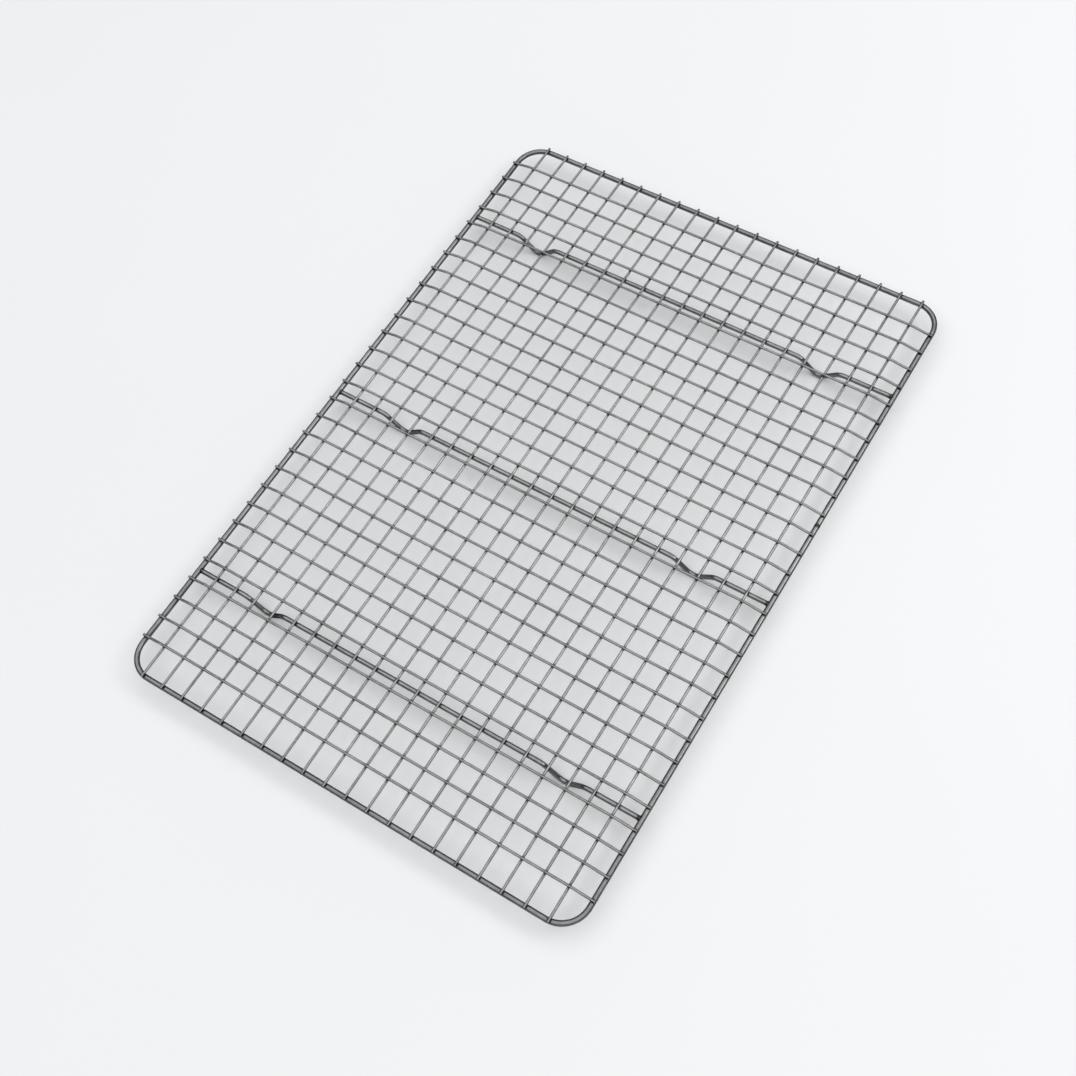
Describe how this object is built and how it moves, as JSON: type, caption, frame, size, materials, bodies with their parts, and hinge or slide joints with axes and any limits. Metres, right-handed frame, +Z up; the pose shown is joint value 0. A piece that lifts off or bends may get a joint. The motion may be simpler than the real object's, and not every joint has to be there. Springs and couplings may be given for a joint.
{
  "type": "cooling rack",
  "caption": "Low rectangular wire cooling rack: square mesh of thin crossed wires on a heavy round-cornered rim, with V-shaped feet bent into the cross braces below.",
  "frame": {"origin": "on the surface that the feet stand on, under the middle of the rack", "axes": "+X along the long sides, +Y along the short sides, +Z up through the mesh"},
  "size_m": [0.4294, 0.294, 0.0154],
  "materials": {
    "rim_wire": "satin bright plating on drawn steel wire",
    "brace_wire": "satin bright plating on drawn steel wire",
    "mesh_wire": "satin bright plating on thin drawn steel wire"
  },
  "bodies": {
    "root": {"rim_side_front": "rim_wire", "rim_side_back": "rim_wire", "rim_end_left": "rim_wire", "rim_end_right": "rim_wire", "rim_corner_front_left": "rim_wire", "rim_corner_front_right": "rim_wire", "rim_corner_back_left": "rim_wire", "rim_corner_back_right": "rim_wire", "leg_brace_left": "brace_wire", "leg_brace_middle": "brace_wire", "leg_brace_right": "brace_wire", "long_wire_01": "mesh_wire", "long_wire_02": "mesh_wire", "long_wire_03": "mesh_wire", "long_wire_04": "mesh_wire", "long_wire_05": "mesh_wire", "long_wire_06": "mesh_wire", "long_wire_07": "mesh_wire", "long_wire_08": "mesh_wire", "long_wire_09": "mesh_wire", "long_wire_10": "mesh_wire", "long_wire_11": "mesh_wire", "long_wire_12": "mesh_wire", "long_wire_13": "mesh_wire", "long_wire_14": "mesh_wire", "long_wire_15": "mesh_wire", "long_wire_16": "mesh_wire", "long_wire_17": "mesh_wire", "long_wire_18": "mesh_wire", "long_wire_19": "mesh_wire", "long_wire_20": "mesh_wire", "cross_wire_01": "mesh_wire", "cross_wire_02": "mesh_wire", "cross_wire_03": "mesh_wire", "cross_wire_04": "mesh_wire", "cross_wire_05": "mesh_wire", "cross_wire_06": "mesh_wire", "cross_wire_07": "mesh_wire", "cross_wire_08": "mesh_wire", "cross_wire_09": "mesh_wire", "cross_wire_10": "mesh_wire", "cross_wire_11": "mesh_wire", "cross_wire_12": "mesh_wire", "cross_wire_13": "mesh_wire", "cross_wire_14": "mesh_wire", "cross_wire_15": "mesh_wire", "cross_wire_16": "mesh_wire", "cross_wire_17": "mesh_wire", "cross_wire_18": "mesh_wire", "cross_wire_19": "mesh_wire", "cross_wire_20": "mesh_wire", "cross_wire_21": "mesh_wire", "cross_wire_22": "mesh_wire", "cross_wire_23": "mesh_wire", "cross_wire_24": "mesh_wire", "cross_wire_25": "mesh_wire", "cross_wire_26": "mesh_wire", "cross_wire_27": "mesh_wire", "cross_wire_28": "mesh_wire", "cross_wire_29": "mesh_wire"}
  },
  "joints": []
}
